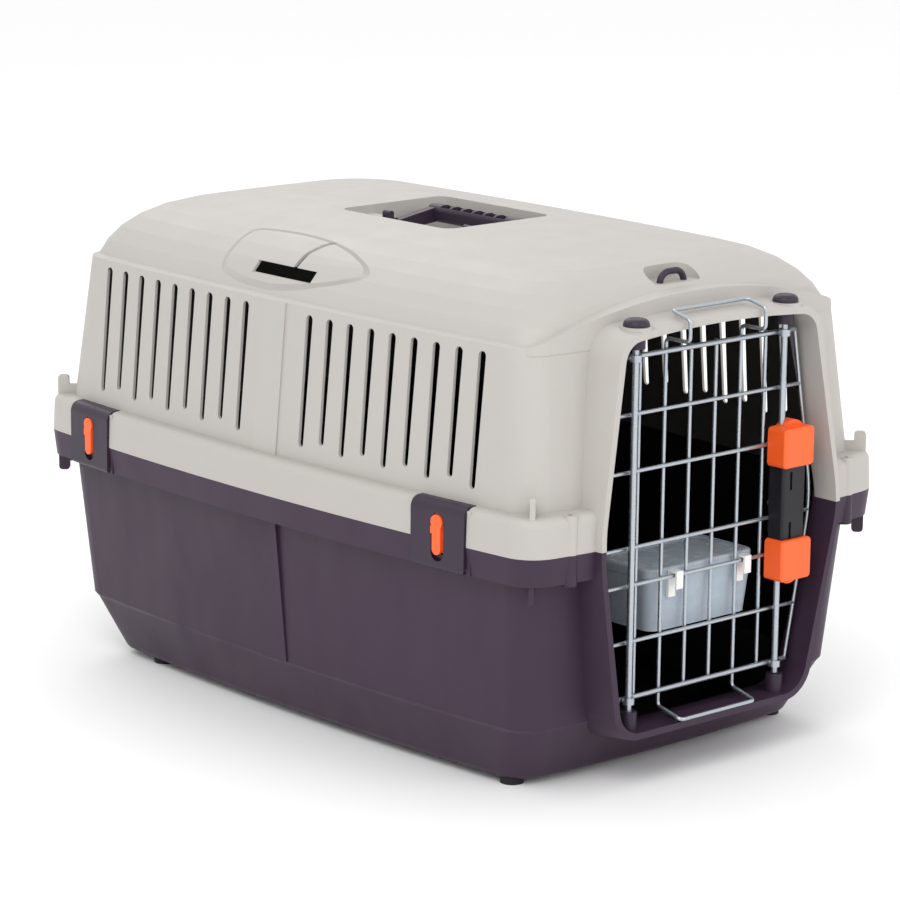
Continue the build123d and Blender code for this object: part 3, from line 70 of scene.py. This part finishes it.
# ---- Materials --------------------------------------------------------------------------------------
class Nodes:
    """Short way to build one material's node tree."""

    def __init__(self, name):
        self.material = bpy.data.materials.new(name)
        self.material.use_nodes = True
        self.tree = self.material.node_tree
        self.shader = self.tree.nodes["Principled BSDF"]
        self.place = self.add("ShaderNodeTexCoord").outputs["Object"]

    def add(self, kind, **settings):
        node = self.tree.nodes.new(kind)
        for name, value in settings.items():
            if hasattr(node, name):
                setattr(node, name, value)
            else:
                node.inputs[name.replace("_", " ")].default_value = value
        return node

    def link(self, output, node, socket):
        self.tree.links.new(output, node.inputs[socket])

    def noise(self, scale, detail=2.0, stretch=(1, 1, 1)):
        """Noise with a given number of features per metre."""
        mapping = self.add("ShaderNodeMapping")
        mapping.inputs["Scale"].default_value = stretch
        self.link(self.place, mapping, "Vector")
        noise = self.add("ShaderNodeTexNoise", Scale=scale, Detail=detail)
        self.link(mapping.outputs["Vector"], noise, "Vector")
        return noise.outputs["Fac"]

    def span(self, source, low, high):
        """Spreads a 0 to 1 value over another range."""
        node = self.add("ShaderNodeMapRange")
        self.link(source, node, "Value")
        node.inputs["From Min"].default_value = 0.3
        node.inputs["From Max"].default_value = 0.7
        node.inputs["To Min"].default_value = low
        node.inputs["To Max"].default_value = high
        return node.outputs["Result"]

    def blend(self, factor, low, high):
        """Colour between two others."""
        node = self.add("ShaderNodeMix", data_type="RGBA")
        self.link(factor, node, "Factor")
        node.inputs["A"].default_value = (*low, 1)
        node.inputs["B"].default_value = (*high, 1)
        return colour_output(node)

    def times(self, colour, factor):
        """Colour made darker by a 0 to 1 value."""
        node = self.add("ShaderNodeVectorMath", operation="SCALE")
        self.link(colour, node, 0)
        self.link(factor, node, "Scale")
        return node.outputs["Vector"]

    def maths(self, operation, first, second):
        """One step of arithmetic between a socket and a socket or number."""
        node = self.add("ShaderNodeMath", operation=operation)
        self.link(first, node, 0)
        if isinstance(second, (int, float)):
            node.inputs[1].default_value = second
        else:
            self.link(second, node, 1)
        return node.outputs["Value"]

    def ramp(self, source, start, end, low, high):
        """Straight change from one value to another over a range of the source."""
        node = self.add("ShaderNodeMapRange")
        self.link(source, node, "Value")
        for name, value in (("From Min", start), ("From Max", end), ("To Min", low), ("To Max", high)):
            node.inputs[name].default_value = value
        return node.outputs["Result"]

    def axes(self):
        node = self.add("ShaderNodeSeparateXYZ")
        self.link(self.place, node, "Vector")
        return node.outputs

    def round_side(self, across, along, centre, radius):
        """Distance outside a circle in plan."""
        flat = self.add("ShaderNodeCombineXYZ")
        self.link(across, flat, "X")
        self.link(along, flat, "Y")
        gap = self.add("ShaderNodeVectorMath", operation="DISTANCE")
        self.link(flat.outputs["Vector"], gap, 0)
        gap.inputs[1].default_value = centre
        return self.maths("SUBTRACT", gap.outputs["Value"], radius)

    def round_max(self, first, second):
        node = self.add("ShaderNodeMath", operation="SMOOTH_MAX")
        self.link(first, node, 0)
        self.link(second, node, 1)
        node.inputs[2].default_value = GUIDE_ROUND
        return node.outputs["Value"]

    def guide_relief(self):
        """Height of the almond step on both shoulders: 1 around it, lower towards its foot."""
        axes = self.axes()
        across = self.maths("ABSOLUTE", axes["X"], 0)
        along = axes["Y"]
        sides = self.round_max(self.round_side(across, along, *GUIDE_TOP_SIDE),
                               self.round_side(across, along, *GUIDE_FOOT_SIDE))
        edge = self.round_max(sides, self.maths("SUBTRACT", along, GUIDE_REAR_Y))
        around = self.ramp(edge, -GUIDE_STEP_WIDTH, 0, 0, 1)
        lean = self.maths("MULTIPLY", along, GUIDE_FACET_SLOPE)
        below = self.maths("SUBTRACT", self.maths("SUBTRACT", across, GUIDE_FACET_X), lean)
        facet = self.ramp(below, 0, GUIDE_FACET_WIDTH, 0, GUIDE_FACET_SHARE)
        inside = self.ramp(around, 0, 1, 1, 0)
        return self.maths("SUBTRACT", around, self.maths("MULTIPLY", facet, inside))

    def inside_shade(self):
        """Painted shade: 1 on outer surfaces and dark on the inner walls of the cabin, where shade falls."""
        geometry = self.add("ShaderNodeNewGeometry")
        middle = self.add("ShaderNodeVectorMath", operation="SUBTRACT")
        self.link(self.place, middle, 0)
        middle.inputs[1].default_value = (0, 0, MIDDLE_Z)
        flat = self.add("ShaderNodeVectorMath", operation="MULTIPLY")
        self.link(middle.outputs["Vector"], flat, 0)
        flat.inputs[1].default_value = (1, LENGTHWAYS_SHARE, 1)
        unit = self.add("ShaderNodeVectorMath", operation="NORMALIZE")
        self.link(flat.outputs["Vector"], unit, 0)
        facing = self.add("ShaderNodeVectorMath", operation="DOT_PRODUCT")
        self.link(unit.outputs["Vector"], facing, 0)
        self.link(geometry.outputs["True Normal"], facing, 1)
        inward = self.ramp(facing.outputs["Value"], FACING_LIMIT - 0.1, FACING_LIMIT, 1, 0)
        axes = self.axes()
        below = self.ramp(axes["Z"], INSIDE_TOP_Z - 0.001, INSIDE_TOP_Z, 1, 0)
        behind = self.ramp(axes["Y"], INSIDE_FRONT_Y - INSIDE_FADE, INSIDE_FRONT_Y, 0, 1)
        mask = self.maths("MULTIPLY", self.maths("MULTIPLY", inward, below), behind)
        return self.ramp(mask, 0, 1, 1, INSIDE_PAINTED_SHADE)


def colour_output(node):
    """The colour result of a mix node, which also has number and vector results."""
    return next(socket for socket in node.outputs if socket.type == "RGBA")


def shade(colour, factor):
    return tuple(min(1.0, part * factor) for part in colour)


def moulded_plastic(name, colour, roughness, grain_size, grain_height, mottle=0.05, soft=0.0,
                    sheen=0.5, painted_inside_shade=False, guides=False):
    """Textured moulded plastic: fine spark-eroded grain, faint cloudiness and handling marks, and painted shade on
    the inner walls when asked.
    """
    nodes = Nodes(name)
    shader = nodes.shader
    tint = nodes.blend(nodes.noise(9.0, 3.0), shade(colour, 1 - mottle), shade(colour, 1 + mottle))
    if painted_inside_shade:
        # Painted shade: the colour is darkened on the inner walls of the cabin
        tint = nodes.times(tint, nodes.inside_shade())
    nodes.link(tint, shader, "Base Color")
    rub = nodes.noise(38.0, 5.0, (1, 1, 0.4))
    nodes.link(nodes.span(rub, roughness - 0.06, roughness + 0.07), shader, "Roughness")
    grain = nodes.noise(1.0 / grain_size, 3.0)
    bump = nodes.add("ShaderNodeBump", Strength=0.55, Distance=grain_height)
    nodes.link(grain, bump, "Height")
    if guides:
        relief = nodes.add("ShaderNodeBump", Strength=1.0, Distance=GUIDE_STEP_DEPTH)
        nodes.link(nodes.guide_relief(), relief, "Height")
        nodes.link(relief.outputs["Normal"], bump, "Normal")
    nodes.link(bump.outputs["Normal"], shader, "Normal")
    shader.inputs["IOR"].default_value = 1.49
    shader.inputs["Specular IOR Level"].default_value = sheen
    shader.inputs["Subsurface Weight"].default_value = soft
    shader.inputs["Subsurface Scale"].default_value = 0.002
    return nodes.material


def drawn_wire(name, colour, roughness):
    """Bright zinc on drawn wire: fine streaks and small dull patches."""
    nodes = Nodes(name)
    shader = nodes.shader
    patch = nodes.noise(160.0, 4.0)
    nodes.link(nodes.blend(patch, shade(colour, 0.93), shade(colour, 1.05)), shader, "Base Color")
    nodes.link(nodes.span(nodes.noise(420.0, 3.0), roughness - 0.05, roughness + 0.07), shader, "Roughness")
    bump = nodes.add("ShaderNodeBump", Strength=0.2, Distance=0.00004)
    nodes.link(nodes.noise(1500.0, 2.0, (1, 1, 0.08)), bump, "Height")
    nodes.link(bump.outputs["Normal"], shader, "Normal")
    shader.inputs["Metallic"].default_value = 0.9
    return nodes.material


def clear_plastic(name, colour):
    """Milky see-through polypropylene with faint flow marks."""
    nodes = Nodes(name)
    shader = nodes.shader
    flow = nodes.noise(14.0, 2.0, (1, 1, 3))
    nodes.link(nodes.blend(flow, shade(colour, 0.97), shade(colour, 1.03)), shader, "Base Color")
    nodes.link(nodes.span(nodes.noise(60.0, 3.0), 0.22, 0.32), shader, "Roughness")
    bump = nodes.add("ShaderNodeBump", Strength=0.15, Distance=0.00005)
    nodes.link(nodes.noise(900.0, 2.0), bump, "Height")
    nodes.link(bump.outputs["Normal"], shader, "Normal")
    shader.inputs["IOR"].default_value = 1.3
    shader.inputs["Transmission Weight"].default_value = 0.0
    shader.inputs["Subsurface Weight"].default_value = 0.5
    shader.inputs["Subsurface Scale"].default_value = 0.01
    return nodes.material


MATERIALS = {
    # Both shells carry painted shade on their inner walls
    "light_grey_shell": moulded_plastic("shell light", LIGHT_GREY, 0.5, 0.0011, 0.00010, 0.02, 0.03, 0.4, True, True),
    "dark_shell": moulded_plastic("shell dark", DARK_PURPLE, 0.44, 0.0012, 0.00012, 0.06, 0.0, 0.3, True),
    "dark_hardware": moulded_plastic("trim dark", DARK_TRIM, 0.42, 0.0009, 0.0001, 0.06, 0.0, 0.35),
    "orange_grips": moulded_plastic("grip orange", ORANGE, 0.38, 0.0008, 0.00006, 0.05, 0.08),
    "black_latch": moulded_plastic("latch black", BLACK, 0.4, 0.0008, 0.00008, 0.1, 0.0, 0.35),
    "zinc_wire": drawn_wire("wire zinc", ZINC, 0.3),
    "steel_pins": drawn_wire("pin steel", STEEL, 0.35),
    "clear_box": clear_plastic("box clear", CLEAR_BLUE),
    "white_hooks": moulded_plastic("hook white", WHITE, 0.3, 0.0008, 0.00005, 0.02, 0.1),
    "foot_rubber": moulded_plastic("foot rubber", RUBBER, 0.7, 0.0006, 0.0001, 0.1, 0.0, 0.3),
}


def dress(obj, slot):
    """Gives an object one material of the record's slots."""
    obj.data.materials.clear()
    obj.data.materials.append(MATERIALS[slot])


for part in frame["record"]["subparts"]:
    dress(NODES[part["node"]], part["material_slot"])


# ---- Studio -----------------------------------------------------------------------------------------
def make_camera():
    data = bpy.data.cameras.new("camera")
    data.lens = FOCAL_LENGTH
    data.sensor_width = SENSOR
    data.clip_start = 0.05
    data.clip_end = 50
    camera = bpy.data.objects.new("camera", data)
    bpy.context.scene.collection.objects.link(camera)
    azimuth = math.radians(CAMERA_AZIMUTH)
    elevation = math.radians(CAMERA_ELEVATION)
    back = Vector((math.sin(azimuth) * math.cos(elevation), -math.cos(azimuth) * math.cos(elevation),
                   math.sin(elevation)))
    right = Vector((0, 0, 1)).cross(back).normalized()
    up = back.cross(right)
    level = Matrix((right, up, back)).transposed().to_4x4()
    roll = Matrix.Rotation(math.radians(CAMERA_ROLL), 4, "Z")
    camera.matrix_world = Matrix.Translation(CAMERA_PLACE) @ level @ roll
    bpy.context.scene.camera = camera


def make_light(name, place, target, size, power):
    data = bpy.data.lights.new(name, "AREA")
    data.shape = "RECTANGLE"
    data.size, data.size_y = size
    data.energy = power
    light = bpy.data.objects.new(name, data)
    light.location = place
    light.rotation_euler = (Vector(target) - Vector(place)).to_track_quat("-Z", "Y").to_euler()
    bpy.context.scene.collection.objects.link(light)


def make_floor():
    mesh = bpy.data.meshes.new("floor")
    floor = bpy.data.objects.new("floor", mesh)
    bpy.context.scene.collection.objects.link(floor)
    shape = bmesh.new()
    bmesh.ops.create_grid(shape, x_segments=8, y_segments=8, size=12)
    shape.to_mesh(mesh)
    shape.free()
    nodes = Nodes("floor")
    cloud = nodes.noise(0.6, 2.0)
    nodes.link(nodes.blend(cloud, shade(FLOOR, 0.99), shade(FLOOR, 1.01)), nodes.shader, "Base Color")
    nodes.shader.inputs["Roughness"].default_value = 0.8
    mesh.materials.append(nodes.material)


def make_world():
    world = bpy.data.worlds.new("studio")
    world.use_nodes = True
    background = world.node_tree.nodes["Background"]
    background.inputs["Color"].default_value = (1, 1, 1, 1)
    background.inputs["Strength"].default_value = 1.0
    bpy.context.scene.world = world


make_camera()
make_floor()
make_world()
make_light("key", (-1.8, -1.2, 2.4), (0, 0, 0.2), (1.6, 1.6), 26)
make_light("front", (0.6, -2.6, 1.3), (0, -0.2, 0.2), (1.4, 1.2), 10)
make_light("rear", (0.8, 2.2, 2.2), (0, 0, 0.2), (2.0, 1.4), 14)
bpy.context.scene.view_settings.view_transform = "Standard"
